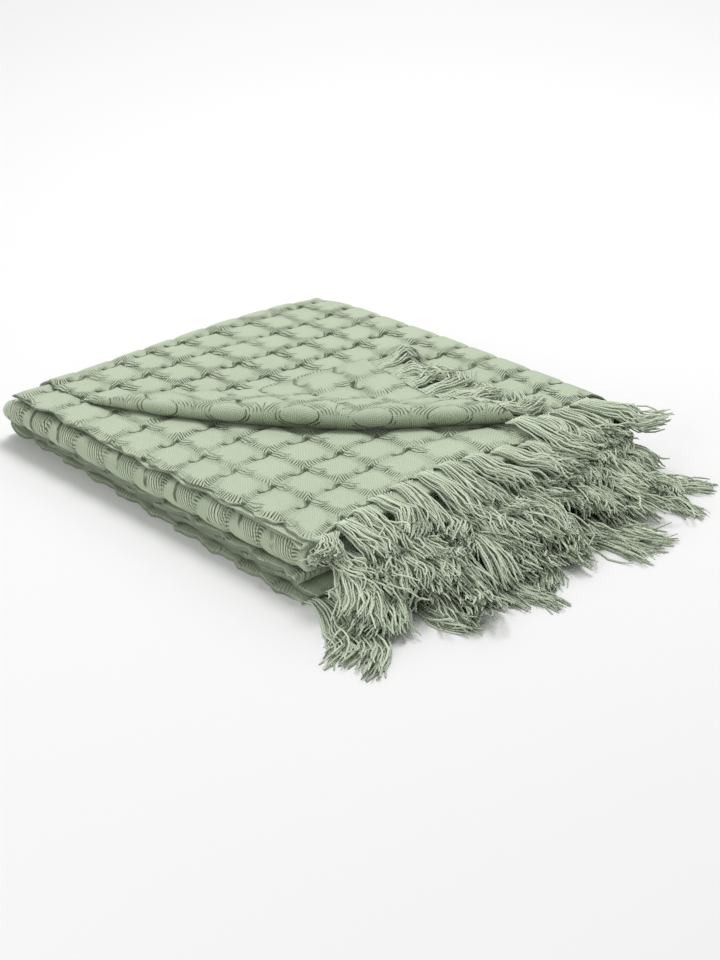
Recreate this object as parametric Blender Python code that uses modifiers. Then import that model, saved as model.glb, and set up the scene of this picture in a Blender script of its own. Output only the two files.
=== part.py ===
"""A cotton bedspread folded into a packet, with knotted tassel fringe on its two woven ends.

The cloth is folded twice along its length, so each section is four plies deep, then back and
forth across its width into four sections. The top ply's front corner is turned back over a
diagonal roll. +X runs along the packet's front edge towards the fringe, +Y towards the back,
+Z up, metres.
"""

import math

import bmesh
import bpy
import numpy as np

# Driving sizes
LENGTH = 0.375  # folded edge to fringed edge, along X
WIDTH = 0.340  # front edge to the fold at the back, along Y
CLOTH = 0.0013  # thickness of one ply
SWELL = 0.12  # the stack is this much taller at its fringed edge
MIDDLE = (0.19, 0.17)  # the packet's middle, which stands on the origin
SPLIT = 0.0007  # gap between the cloth's woven end and a fringe's backing
BACKING = 0.0030  # width of a backing strip

# The stack's height for each ply level, at the folded edge: (level, height of the ply's middle)
STACK = ((0.5, CLOTH / 2), (4.0, 0.0190), (12.0, 0.0366), (16.0, 0.0462))

# The stack's unevenness: (share of the height, wavelength in X, in Y, where its crest starts)
LUMPS = ((0.022, 0.31, 0.23, 0.9), (0.014, 0.17, 0.40, 2.3), (0.008, 0.11, 0.13, 4.0))

# The four plies of a section sit at these levels from the section's middle
PLY_A, PLY_D, PLY_C, PLY_B = 1.5, 0.5, -0.5, -1.5

# Sections from the top down: middle level, which way ply A faces, reach of the outer loop,
# setback of the inner loop, fringed end of ply A, end fold of plies B and C
SECTIONS = (
    # level, up, outer, inner, end_a, end_bc
    (14.0, 1, 0.004, 0.003, 0.338, 0.366),
    (10.0, -1, 0.008, 0.010, 0.376, 0.364),
    (6.0, 1, 0.011, 0.014, 0.380, 0.368),
    (2.0, -1, 0.015, 0.022, 0.372, 0.362),
)
END_FOLD = 0.0013  # reach of the fold that joins plies B and C at the fringed side
INNER_FOLD = 0.0014  # reach of the fold that joins plies C and D at the folded side
FOLD_DEPTH = 0.0026  # reach of a back-and-forth fold for each level of its radius
FOLD_RADIUS = 2.0  # of a section's middle, in levels
FRONT_FOLD = 0.004  # Y of the middle of the fold at the front

# Fringed end of ply D: bowed in on the top section, straight on the three below
TOP_END_D = (
    # share of the width from the front, X
    (0.0, 0.376),
    (0.125, 0.361),
    (0.250, 0.350),
    (0.375, 0.344),
    (0.500, 0.345),
    (0.625, 0.356),
    (0.750, 0.368),
    (1.0, 0.379),
)
LOWER_END_D = (0.381, 0.374, 0.379)

# Front selvedges, Y at the corners of the plies, in the order that the cloth runs:
# A at the fringe, A and B at the folds, B and C at the fringe, C and D at the folds, D at the fringe
SELVEDGE_TOP = (0.035, 0.033, 0.028, -0.006, -0.004, 0.004, 0.0, 0.0)
SELVEDGE_BOTTOM = (-0.010, 0.012, 0.004, -0.010, -0.006, 0.006, 0.012, -0.002)

# The turned-back corner: a roll along a line across ply A of the top section
CREASE_START = (0.074, 0.019)
CREASE_ANGLE = math.radians(39.6)
CREASE_LENGTH = 0.361
CREASE_BOW = (-0.020, 0.010)  # how far the roll lies beyond the line, at its ends and its middle
ROLL_RADIUS = (0.0035, 0.0090, 0.0065)  # at its start, middle and fringed end
BOW_FADES = 0.110  # the bow is gone this far past the roll
FLAP_SETTLES = 0.060  # the flap comes down onto the ply beneath over this length
FLAP_GAP = 0.0026  # middle of the flap above the middle of the ply it lies on

# Grid lines: for each ply and fold along the cloth, and for each section and fold across it
ALONG = (8, 6, 3, 4, 3, 4, 7)
ACROSS = (8, 6, 3, 6, 3, 6, 5)
ROLL_TURNS = tuple(k * math.pi / 6 for k in range(7))  # lines along the roll, by its turn
ROLL_CUTS = ROLL_TURNS + (4.0, 5.2, 7.0, 9.5, 13.0)  # and past it, in radii of the roll

# Fringe
TASSEL_PITCH = 0.0247
TASSEL_MARGIN = 0.002  # bare backing after the last tassel
END_SPACE = 0.001  # from a backing's ends to the selvedge and to the back fold
LOCK_SPACE = 0.0012  # between the locks of a tassel at their roots
FIRST_STEP = 0.008  # a lock's first station is at least this far from its root
LOCK_STATIONS = (
    # X, share of the lock's width, height
    (0.384, 1.00, 0.0014),
    (0.412, 1.15, 0.0021),
    (0.440, 1.10, 0.0026),
)
LOCK_TIP = (0.45, 0.0016)
FLAP_STATIONS = (
    # share of the length, share of the lock's width, height
    (0.34, 1.15, 0.0024),
    (0.68, 1.10, 0.0028),
    (1.00, 0.45, 0.0016),
)
DRAPE_START = 0.386  # X where the fringe leaves the stack
DRAPE_LENGTH = 0.060
LAYER = 0.0034  # spacing of the rows where they lie on one another
SWAY, SWAY_TURN = 0.055, 1.1  # sideways sway of neighbouring tassels
UNEVEN, UNEVEN_TURN = 0.006, 1.7  # unevenness of the tips
LEAN_AT_ROOT = 0.4  # share of its full lean that a lock has where it starts
SPREAD = 0.022  # lean of a tassel's locks away from each other
LOWEST = 0.0015  # middle of the floor row's locks
FAN = (-0.42, 0.20)  # sideways lean of the tassels at the front and the back corner
# Rows from the floor up: section from the top, ply, locks in a tassel, width of a lock, X of the tips,
# bare backing before the first tassel
ROWS = (
    # name, section, ply, locks, width, reach, bare
    ("fringe_1_floor", 3, "A", 2, 0.0060, 0.486, 0.0060),
    ("fringe_2", 3, "D", 1, 0.0095, 0.478, 0.0110),
    ("fringe_3", 2, "D", 1, 0.0095, 0.482, 0.0090),
    ("fringe_4", 2, "A", 1, 0.0095, 0.474, 0.0080),
    ("fringe_5", 1, "A", 1, 0.0095, 0.470, 0.0060),
    ("fringe_6", 1, "D", 2, 0.0060, 0.464, 0.0110),
    ("fringe_7_top", 0, "D", 2, 0.0060, 0.452, 0.0060),
)
FLAP_TASSEL = 0.058  # length of the flap's tassels, which lie back over the packet
FLAP_TASSEL_DROP = 1.4  # they lie level this much sooner than at their tips
FLAP_TASSEL_LIFT = 0.0029  # their middle above the middle of the ply they lie on
FLAP_BARE, FLAP_LOCKS, FLAP_LOCK_WIDTH = 0.010, 2, 0.0060
BEND_MARGIN = 0.010  # no tassel starts this near the roll, where the backing bends
LOOSE_TASSEL = 0.114  # length of those on the part of that ply which isn't turned back
FLAP_LEVEL = SECTIONS[0][0] + PLY_A

SAGE = (0.50, 0.555, 0.44)


def smooth(t):
    """0 to 1, level at both ends."""
    t = np.clip(t, 0.0, 1.0)
    return t * t * (3.0 - 2.0 * t)


def column(index):
    return np.array([row[index] for row in SECTIONS], float)


def height(level, x, y):
    """Height of a level of the stack, which swells towards the fringed edge and is a little uneven."""
    levels, heights = zip(*STACK)
    rise = np.interp(level, levels, heights) - heights[0]
    across_x = np.clip(x, 0.0, LENGTH)
    across_y = np.clip(y, 0.0, WIDTH)
    share = 1.0 + SWELL * across_x / LENGTH
    for deep, wave_x, wave_y, crest in LUMPS:
        share = share + deep * np.sin(math.tau * across_x / wave_x + crest) * np.cos(
            math.tau * across_y / wave_y + crest
        )
    return heights[0] + rise * share


def across(omega):
    """Reads a place 0 to 7 over the sections and the folds between them.

    Returns whether it is on a fold, its section (the one above, on a fold), its share of the width
    from the front, and its part of the piece.
    """
    piece = np.clip(np.floor(omega).astype(int), 0, 6)
    part = omega - piece
    section = piece // 2
    is_fold = piece % 2 == 1
    at_back = section % 2 == 0
    share = np.where(is_fold, at_back * 1.0, np.where(at_back, part, 1.0 - part))
    return is_fold, section, share, part


def along(sigma, section):
    """X, and level from the section's middle, for a place 0 to 7 over the plies and their folds."""
    piece = np.clip(np.floor(sigma).astype(int), 0, 6)
    t = sigma - piece
    angle = t * math.pi
    rows = np.arange(len(SECTIONS))
    outer, inner, end_a, end_bc = (np.interp(section, rows, column(i)) for i in (2, 3, 4, 5))
    level = np.zeros(t.shape)
    runs = (
        # X, level
        (end_a * (1.0 - t), PLY_A + level),
        (-outer * np.sin(angle), PLY_A * np.cos(angle)),
        (end_bc * t, PLY_B + level),
        (end_bc + END_FOLD * np.sin(angle), (PLY_B + PLY_C) / 2 - 0.5 * np.cos(angle)),
        (end_bc + (inner - end_bc) * t, PLY_C + level),
        (inner - INNER_FOLD * np.sin(angle), PLY_C * np.cos(angle)),
        (inner + level, PLY_D + level),
    )
    return piece, t, np.choose(piece, [run[0] for run in runs]), np.choose(piece, [run[1] for run in runs])


def end_of_d(section, share):
    """X of ply D's fringed end: bowed in on the top section, straight on those below."""
    shares, ends = zip(*TOP_END_D)
    top = np.interp(share, shares, ends)
    lower = np.interp(section, (1, 2, 3), LOWER_END_D)
    return np.where(section <= 1.0, top + (lower - top) * np.clip(section, 0.0, 1.0), lower)


def selvedge(sigma, table):
    """Y of a front selvedge along the cloth."""
    corners = (0.0, 1.0, 2.0, 3.0, 4.0, 5.0, 6.0, 7.0)
    return np.interp(sigma, corners, table)


def folded(sigma, omega):
    """The stack's X, Y, Z for places along and across the cloth, before the corner is turned back."""
    is_fold, section, share, part = across(omega)
    section_at = section + is_fold * part
    piece, t, x, level = along(sigma, section_at)
    x = np.where(piece == 6, x + (end_of_d(section_at, share) - x) * t, x)
    front = np.select(
        (section == 0, section == 3),
        (selvedge(sigma, SELVEDGE_TOP), selvedge(sigma, SELVEDGE_BOTTOM)),
        FRONT_FOLD,
    )
    middle, facing = column(0), column(1)
    at_back = np.where(section % 2 == 0, 1.0, -1.0)
    radius = FOLD_RADIUS + at_back * level
    turn = part * math.pi
    fold_y = np.where(at_back > 0, WIDTH, FRONT_FOLD) + at_back * radius * FOLD_DEPTH * np.sin(turn)
    fold_level = (middle[section] + middle[np.minimum(section + 1, 3)]) / 2 + radius * np.cos(turn)
    y = np.where(is_fold, fold_y, front + (WIDTH - front) * share)
    at_level = np.where(is_fold, fold_level, middle[section] + facing[section] * level)
    return x, y, height(at_level, x, y)


def crease_frame():
    """Start of the crease line, the way along it, and the way beyond it, to the front corner."""
    start = np.array(CREASE_START)
    way = np.array((math.cos(CREASE_ANGLE), math.sin(CREASE_ANGLE)))
    beyond = np.array((way[1], -way[0]))
    return start, way, beyond


def roll(tau):
    """Bow of the roll past the crease line, and its radius, along the line."""
    share = np.clip(tau / CREASE_LENGTH, 0.0, 1.0)
    bow = CREASE_BOW[0] + (CREASE_BOW[1] - CREASE_BOW[0]) * np.sin(math.pi * share)
    radius = np.interp(share, (0.0, 0.5, 1.0), ROLL_RADIUS)
    return bow, radius


def to_crease(x, y):
    """Place along the crease, and turns of the roll past its start (in radians of the roll)."""
    start, way, beyond = crease_frame()
    tau = (x - start[0]) * way[0] + (y - start[1]) * way[1]
    past = (x - start[0]) * beyond[0] + (y - start[1]) * beyond[1]
    bow, radius = roll(tau)
    return tau, (past - bow) / radius


def from_crease(tau, turns):
    """The flat place that to_crease came from."""
    start, way, beyond = crease_frame()
    bow, radius = roll(tau)
    past = turns * radius + bow
    return start[0] + tau * way[0] + past * beyond[0], start[1] + tau * way[1] + past * beyond[1]


def turned_back(x, y, z):
    """Rolls what lies beyond the crease up and back over the packet."""
    start, way, beyond = crease_frame()
    tau, turns = to_crease(x, y)
    bow, radius = roll(tau)
    past = turns * radius + bow
    after = np.clip(turns * radius - math.pi * radius, 0.0, None)
    on_roll = bow + radius * np.sin(np.clip(turns, 0.0, math.pi))
    fading = 1.0 - smooth(after / BOW_FADES)
    laid = -past + 2.0 * bow * fading + math.pi * radius
    place = np.where(turns < math.pi, on_roll, laid)
    place = np.where(turns < 0.0, past, place)
    rise = radius * (1.0 - np.cos(np.clip(turns, 0.0, math.pi)))
    settled = FLAP_GAP + (2.0 * radius - FLAP_GAP) * (1.0 - smooth(after / FLAP_SETTLES))
    rise = np.where(turns < math.pi, rise, settled)
    new_x = start[0] + tau * way[0] + place * beyond[0]
    new_y = start[1] + tau * way[1] + place * beyond[1]
    base = height(FLAP_LEVEL, new_x, new_y)
    return (
        np.where(turns > 0.0, new_x, x),
        np.where(turns > 0.0, new_y, y),
        np.where(turns > 0.0, base + rise, z),
    )


def breaks(counts):
    """Places 0 to 7 of the grid lines, evenly spaced in each piece."""
    places = [0.0]
    for piece, count in enumerate(counts):
        places += [piece + (k + 1) / count for k in range(count)]
    return places


def flat_to_top(sigma, omega):
    """Flat X, Y on ply A of the top section."""
    x = SECTIONS[0][4] * (1.0 - sigma)
    front = selvedge(sigma, SELVEDGE_TOP)
    return x, front + (WIDTH - front) * omega


def top_to_flat(x, y):
    sigma = 1.0 - x / SECTIONS[0][4]
    front = selvedge(sigma, SELVEDGE_TOP)
    return sigma, (y - front) / (WIDTH - front)


def on_flap_ply(vert):
    return vert.co.x < 1.0 + 1e-6 and vert.co.y < 1.0 + 1e-6


def cut_along_roll(bm):
    """Adds lines that run with the roll, so that it bends smoothly."""
    verts = [v for v in bm.verts if on_flap_ply(v)]
    faces = [f for f in bm.faces if all(on_flap_ply(v) for v in f.verts)]
    edges = list({e for f in faces for e in f.edges})
    for vert in verts:
        x, y = flat_to_top(vert.co.x, vert.co.y)
        tau, turns = to_crease(x, y)
        vert.co = (tau, turns, -1.0)
    for turns in ROLL_CUTS:
        geometry = verts + edges + faces
        cut = bmesh.ops.bisect_plane(
            bm, geom=geometry, dist=1e-6, plane_co=(0.0, turns, 0.0), plane_no=(0.0, 1.0, 0.0)
        )
        found = cut["geom"] + cut["geom_cut"]
        verts = list({e for e in found if isinstance(e, bmesh.types.BMVert)})
        edges = list({e for e in found if isinstance(e, bmesh.types.BMEdge)})
        faces = list({e for e in found if isinstance(e, bmesh.types.BMFace)})
    for vert in bm.verts:
        if vert.co.z < -0.5:
            x, y = from_crease(vert.co.x, vert.co.y)
            sigma, omega = top_to_flat(x, y)
            vert.co = (sigma, omega, 0.0)


def cloth_mesh():
    """The flat cloth as a grid over its plies and sections, moved to its folded place."""
    bm = bmesh.new()
    columns, rows = breaks(ALONG), breaks(ACROSS)
    bmesh.ops.create_grid(bm, x_segments=len(columns) - 1, y_segments=len(rows) - 1, size=0.5)
    for vert in bm.verts:
        i = round((vert.co.x + 0.5) * (len(columns) - 1))
        j = round((vert.co.y + 0.5) * (len(rows) - 1))
        vert.co = (columns[i], rows[j], 0.0)
    cut_along_roll(bm)
    bm.verts.ensure_lookup_table()
    places = np.array([v.co[:2] for v in bm.verts], float)
    x, y, z = folded(places[:, 0], places[:, 1])
    turned = turned_back(x, y, z)
    top = (places[:, 0] < 1.0) & (places[:, 1] < 1.0)
    places = [np.where(top, new, old) for new, old in zip(turned, (x, y, z))]
    for vert, point in zip(bm.verts, np.stack(places, axis=1)):
        vert.co = point
    many = [f for f in bm.faces if len(f.verts) > 4]
    bmesh.ops.triangulate(bm, faces=many)
    mesh = bpy.data.meshes.new("bedspread_cloth")
    bm.to_mesh(mesh)
    bm.free()
    mesh.shade_smooth()
    return mesh


def add_object(name, mesh, material, collection):
    mesh.materials.append(material)
    thing = bpy.data.objects.new(name, mesh)
    thing.location = (-MIDDLE[0], -MIDDLE[1], 0.0)
    collection.objects.link(thing)
    return thing


def build_cloth(material, collection):
    cloth = add_object("bedspread_cloth", cloth_mesh(), material, collection)
    solid = cloth.modifiers.new("Thickness", "SOLIDIFY")
    solid.thickness = CLOTH
    solid.offset = 0.0
    return cloth


def drape(order, level):
    """A function for the height of a row's middle over the floor, by X and Y."""

    def at(x, y):
        root = height(level, x, y)
        lying = LOWEST + LAYER * order
        fall = smooth((x - DRAPE_START) / DRAPE_LENGTH)
        return root + (lying - root) * fall

    return at


def join_rings(bm, rings):
    """A closed bar through four-cornered rings; returns the faces of its outer side."""
    bm.faces.new(rings[0])
    bm.faces.new(rings[-1][::-1])
    outer = []
    for a, b in zip(rings, rings[1:]):
        for k in range(4):
            n = (k + 1) % 4
            face = bm.faces.new((a[n], a[k], b[k], b[n]))
            if k == 1:
                outer.append(face)
    return outer


def backing(bm, ends, marks, surface):
    """A straight row's backing strip, along the marks in Y."""
    rings = []
    for x, y in zip(ends, marks):
        z = float(surface(x, y))
        ring = []
        for dx, up in ((0.0, -0.5), (BACKING, -0.5), (BACKING, 0.5), (0.0, 0.5)):
            ring.append(bm.verts.new((x + SPLIT + dx, y, z + up * CLOTH)))
        rings.append(ring)
    return join_rings(bm, rings)


def grow_lock(face, bm, path, on_floor=False):
    """Extrudes a backing's face into a lock: path has each step's middle, side, width and height."""
    for point, side, width, tall in path:
        face = bmesh.ops.extrude_discrete_faces(bm, faces=[face])["faces"][0]
        middle = face.calc_center_median()
        arms = [vert.co - middle for vert in face.verts]
        rights = [arm.x * side[0] + arm.y * side[1] for arm in arms]
        tilt = sum(a * arm.z for a, arm in zip(rights, arms)) / sum(a * a for a in rights)
        base = tall / 2 if on_floor else point[2]
        for vert, a, arm in zip(face.verts, rights, arms):
            right = math.copysign(width / 2, a)
            up = math.copysign(tall / 2, arm.z - tilt * a)
            vert.co = (point[0] + side[0] * right, point[1] + side[1] * right, base + up)


def wander(count, locks, order):
    """Sideways lean of one lock: its tassel's sway, and a spread between the tassel's locks."""
    tassel, lock = divmod(count, locks)
    spread = SPREAD * (2 * lock - (locks - 1))
    return SWAY * math.sin(SWAY_TURN * tassel + order) + spread


def hanging_path(root, tip_x, lean, width, surface):
    """A lock's way out over the stack's edge and down, leaning sideways more towards its tip."""
    stations = [row for row in LOCK_STATIONS if root[0] + FIRST_STEP < row[0]] + [(tip_x, *LOCK_TIP)]
    path = []
    for x, share, tall in stations:
        far = (x - root[0]) / (tip_x - root[0])
        y = root[1] + lean * (x - root[0]) * (LEAN_AT_ROOT + (1.0 - LEAN_AT_ROOT) * far)
        path.append(((x, y, float(surface(x, y))), (0.0, 1.0), width * share, tall))
    return path


def tassel_marks(start, end, bare, locks, width):
    """Y of the ends of each lock's root along a backing, from its start to its end."""
    marks, roots = [start], []
    step = width + LOCK_SPACE
    y = start + bare
    while y + locks * step < end - TASSEL_MARGIN:
        for k in range(locks):
            low = y + k * step
            marks += [low, low + width]
            roots.append(len(marks) - 2)
        y += TASSEL_PITCH
    marks.append(end)
    return marks, roots


def row_mesh(order, row):
    """One row of tassels with its backing."""
    name, section, ply, locks, width, reach, bare = row
    middle_level, facing = SECTIONS[section][:2]
    level = middle_level + facing * (PLY_A if ply == "A" else PLY_D)
    surface = drape(order, level)
    table = SELVEDGE_TOP if section == 0 else SELVEDGE_BOTTOM
    front = selvedge(0.0 if ply == "A" else 7.0, table) if section in (0, 3) else FRONT_FOLD
    marks, roots = tassel_marks(float(front) + END_SPACE, WIDTH - END_SPACE, bare, locks, width)
    shares = (np.array(marks) - front) / (WIDTH - front)
    if ply == "A":
        ends = np.full(len(marks), SECTIONS[section][4])
    else:
        ends = end_of_d(np.full(len(marks), float(section)), shares)
    bm = bmesh.new()
    outer = backing(bm, ends, marks, surface)
    for count, index in enumerate(roots):
        face = outer[index]
        root = face.calc_center_median()
        lean = FAN[0] + (FAN[1] - FAN[0]) * root.y / WIDTH + wander(count, locks, order)
        tip_x = reach + UNEVEN * math.sin(UNEVEN_TURN * count + order)
        path = hanging_path(root, tip_x, lean, width, surface)
        grow_lock(face, bm, path, on_floor=order == 0)
    return finish_mesh(bm, name)


def on_flap(x, y):
    """Place and normal on ply A of the top section, turned back where it is."""
    step = 1e-4
    points = []
    for dx, dy in ((0.0, 0.0), (step, 0.0), (0.0, step)):
        px, py = np.array([x + dx]), np.array([y + dy])
        moved = turned_back(px, py, height(FLAP_LEVEL, px, py))
        points.append(np.array([float(c[0]) for c in moved]))
    out, side = points[1] - points[0], points[2] - points[0]
    normal = np.cross(out, side)
    return points[0], out / np.linalg.norm(out), side / np.linalg.norm(side), normal / np.linalg.norm(normal)


def lying_path(root, out, side, sway, width):
    """A lock of the turned-back ply's fringe, from its edge down onto the packet's top."""
    level_side = side / np.linalg.norm(side)
    path = []
    for step, share, tall in FLAP_STATIONS:
        x, y = root[:2] + (out + side * sway * step) * FLAP_TASSEL * step
        lying = height(FLAP_LEVEL, x, y) + FLAP_TASSEL_LIFT
        z = float(root[2] + (lying - root[2]) * smooth(step * FLAP_TASSEL_DROP))
        path.append(((x, y, z), level_side, width * share, tall))
    return path


def flap_row_mesh():
    """The turned-back ply's tassels: the backing follows its end over the roll."""
    end = SECTIONS[0][4]
    start = SELVEDGE_TOP[0] + END_SPACE
    marks, roots = tassel_marks(start, WIDTH - END_SPACE, FLAP_BARE, FLAP_LOCKS, FLAP_LOCK_WIDTH)
    spans = list(enumerate((marks[i], marks[i + 1]) for i in roots))
    search = np.linspace(start, WIDTH, 2000)
    turns = to_crease(np.full(search.shape, end), search)[1]
    bends = [float(np.interp(-turn, -turns, search)) for turn in ROLL_TURNS]
    low, high = min(bends) - BEND_MARGIN, max(bends) + BEND_MARGIN
    spans = [(count, span) for count, span in spans if span[1] < low or span[0] > high]
    marks = sorted([marks[0], marks[-1]] + bends + [mark for _, span in spans for mark in span])
    bm = bmesh.new()
    rings = []
    for y in marks:
        ring = []
        for dx, up in ((0.0, -0.5), (BACKING, -0.5), (BACKING, 0.5), (0.0, 0.5)):
            place, _, _, normal = on_flap(end + SPLIT + dx, y)
            ring.append(bm.verts.new(place + normal * up * CLOTH))
        rings.append(ring)
    outer = join_rings(bm, rings)
    for count, span in spans:
        face = outer[marks.index(span[0])]
        place, out, side, _ = on_flap(end + SPLIT + BACKING, sum(span) / 2)
        first, last = (on_flap(end + SPLIT + BACKING, y)[0] for y in span)
        width = float(np.linalg.norm(last - first))
        sway = wander(count, FLAP_LOCKS, 0)
        if out[0] > 0.5:
            tip_x = place[0] + LOOSE_TASSEL
            surface = drape(len(ROWS), FLAP_LEVEL)
            path = hanging_path(place, tip_x, sway, width, surface)
        else:
            path = lying_path(place, out[:2], side[:2], sway, width)
        grow_lock(face, bm, path)
    return finish_mesh(bm, "fringe_8_flap")


def finish_mesh(bm, name):
    bmesh.ops.recalc_face_normals(bm, faces=bm.faces)
    mesh = bpy.data.meshes.new(name)
    bm.to_mesh(mesh)
    bm.free()
    return mesh


def make_material(name, colour, roughness):
    material = bpy.data.materials.new(name)
    material.use_nodes = True
    shader = material.node_tree.nodes["Principled BSDF"]
    shader.inputs["Base Color"].default_value = (*colour, 1.0)
    shader.inputs["Roughness"].default_value = roughness
    shader.inputs["Metallic"].default_value = 0.0
    return material


def main():
    for thing in list(bpy.data.objects):
        bpy.data.objects.remove(thing, do_unlink=True)
    collection = bpy.data.collections.new("bedspread")
    bpy.context.scene.collection.children.link(collection)
    cloth_material = make_material("sage_cotton", SAGE, 0.9)
    yarn_material = make_material("sage_yarn", SAGE, 0.95)
    build_cloth(cloth_material, collection)
    for order, row in enumerate(ROWS):
        add_object(row[0], row_mesh(order, row), yarn_material, collection)
    add_object("fringe_8_flap", flap_row_mesh(), yarn_material, collection)


main()
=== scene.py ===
# %% [markdown]
# # A folded cotton bedspread with tassel fringe
# The real thing is one rectangle of sage-green cotton, woven in puffed square cells, with knotted tassels
# at its two woven ends. It lies folded in a packet, with the top ply's front corner turned back.
# Each step below says what the piece or finish is on the real cloth, how it could be made, and why it is
# made this way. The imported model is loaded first, because every piece has to stay in its frame.

# %% Load the frame
import math

import bpy
import numpy as np
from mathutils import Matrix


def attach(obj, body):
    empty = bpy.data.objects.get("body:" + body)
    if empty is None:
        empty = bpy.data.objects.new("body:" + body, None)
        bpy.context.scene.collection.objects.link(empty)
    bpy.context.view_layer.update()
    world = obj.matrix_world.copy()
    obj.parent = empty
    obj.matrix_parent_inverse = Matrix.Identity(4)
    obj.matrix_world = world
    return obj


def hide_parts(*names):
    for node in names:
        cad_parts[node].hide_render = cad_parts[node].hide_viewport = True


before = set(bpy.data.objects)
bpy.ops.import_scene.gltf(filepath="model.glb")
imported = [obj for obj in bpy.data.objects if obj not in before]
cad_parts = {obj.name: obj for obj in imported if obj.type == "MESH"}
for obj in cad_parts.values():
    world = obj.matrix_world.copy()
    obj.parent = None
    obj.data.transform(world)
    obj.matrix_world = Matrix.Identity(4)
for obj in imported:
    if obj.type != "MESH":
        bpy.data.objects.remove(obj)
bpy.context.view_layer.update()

# %% [markdown]
# ## Camera, floor and light
# The picture was taken from a standing person's height at the packet's front right corner, with a long
# lens. A vanishing-point fit of the packet's edges gives the lens and the place. The packet lies on white
# under broad soft light: a large area light overhead, a weaker one in front, a wide one that keeps the floor
# white far behind, and a bright world. Small hard lights would draw shadows that the picture doesn't have.

# %% Camera
CAMERA_PLACE = (1.123, -1.004, 0.704)
CAMERA_TURN = (64.2, 0.0, 46.9)  # degrees
LENS, SENSOR = 75.2, 36.0

lens = bpy.data.cameras.new("photo_camera")
lens.lens = LENS
lens.sensor_width = SENSOR
camera = bpy.data.objects.new("photo_camera", lens)
bpy.context.collection.objects.link(camera)
camera.location = CAMERA_PLACE
camera.rotation_euler = [math.radians(angle) for angle in CAMERA_TURN]
bpy.context.scene.camera = camera
print("camera at", CAMERA_PLACE)

# %% Floor
FLOOR_SIDE = 12.0
FLOOR_WHITE, FLOOR_ROUGHNESS = (0.86, 0.86, 0.86, 1.0), 0.9

bpy.ops.object.select_all(action="DESELECT")
bpy.ops.mesh.primitive_plane_add(size=FLOOR_SIDE, location=(0.0, 0.0, 0.0))
floor = bpy.context.active_object
floor.name = "floor"
floor_paint = bpy.data.materials.new("white_floor")
floor_paint.use_nodes = True
floor_shader = floor_paint.node_tree.nodes["Principled BSDF"]
floor_shader.inputs["Base Color"].default_value = FLOOR_WHITE
floor_shader.inputs["Roughness"].default_value = FLOOR_ROUGHNESS
floor.data.materials.append(floor_paint)
print("floor", [round(side, 1) for side in floor.dimensions])

# %% Lights
LIGHTS = (
    # name, place, side in metres, power in watts, the place it points at
    ("overhead", (-0.25, 0.55, 2.0), 0.9, 23.5, (0.0, 0.0, 0.0)),
    ("fill", (0.5, -1.9, 0.55), 1.4, 15.0, (0.0, 0.0, 0.0)),
    ("backdrop", (-2.4, 2.5, 2.2), 3.0, 42.0, (-2.5, 2.6, 0.0)),
)
WORLD_WHITE, WORLD_STRENGTH = (1.0, 1.0, 1.0, 1.0), 0.50


def soft_light(name, place, side, power, target):
    """A square area light that points at a place and isn't seen itself."""
    lamp = bpy.data.lights.new(name, "AREA")
    lamp.size = side
    lamp.energy = power
    thing = bpy.data.objects.new(name, lamp)
    bpy.context.collection.objects.link(thing)
    thing.location = place
    towards = np.array(target) - np.array(place)
    tilt = math.atan2(math.hypot(towards[0], towards[1]), -towards[2])
    heading = math.atan2(towards[1], towards[0]) - math.pi / 2
    thing.rotation_euler = (tilt, 0.0, heading)
    thing.visible_camera = False


for light in LIGHTS:
    soft_light(*light)
world = bpy.data.worlds.new("studio")
world.use_nodes = True
world.node_tree.nodes["Background"].inputs["Color"].default_value = WORLD_WHITE
world.node_tree.nodes["Background"].inputs["Strength"].default_value = WORLD_STRENGTH
bpy.context.scene.world = world
bpy.context.scene.view_settings.view_transform = "Standard"
print("lights:", len(bpy.data.lights))

# %% [markdown]
# ## How the cloth is folded
# The cloth is folded twice along its length, which makes four plies, and then back and forth across its
# width into four sections. A simulation of sixteen plies would be slow and would not come out as in the
# photograph. So each place on the flat cloth, given by how many plies and sections it is in, is moved to
# its folded place by a formula. The same formula made the solids, so everything fits them.

# %% Sizes of the fold
MIDDLE = np.array((0.19, 0.17, 0.0))  # the packet's middle, from its front left corner
LENGTH, WIDTH, CLOTH = 0.375, 0.340, 0.0013
STACK = ((0.5, CLOTH / 2), (4.0, 0.0190), (12.0, 0.0366), (16.0, 0.0462))  # levels, and their heights
SWELL = 0.12  # how much thicker the stack is at its fringed side
LUMPS = (
    # share of the height, wavelengths along X and Y, and where the wave starts
    (0.022, 0.31, 0.23, 0.9), (0.014, 0.17, 0.40, 2.3), (0.008, 0.11, 0.13, 4.0),
)
PLY_A, PLY_D, PLY_C, PLY_B = 1.5, 0.5, -0.5, -1.5  # the four plies' levels in a section
SECTIONS = (
    # level, up, outer loop, inner loop, fringed end of ply A, end fold of plies B and C
    (14.0, 1, 0.004, 0.003, 0.338, 0.366),
    (10.0, -1, 0.008, 0.010, 0.376, 0.364),
    (6.0, 1, 0.011, 0.014, 0.380, 0.368),
    (2.0, -1, 0.015, 0.022, 0.372, 0.362),
)
END_FOLD, INNER_FOLD, FOLD_DEPTH, FOLD_RADIUS, FRONT_FOLD = 0.0013, 0.0014, 0.0026, 2.0, 0.004
TOP_END_D = (
    # share of the width, and where the fringed end of the top section's ply D is there
    (0.0, 0.376), (0.125, 0.361), (0.250, 0.350), (0.375, 0.344),
    (0.500, 0.345), (0.625, 0.356), (0.750, 0.368), (1.0, 0.379),
)
LOWER_END_D = (0.381, 0.374, 0.379)
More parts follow.
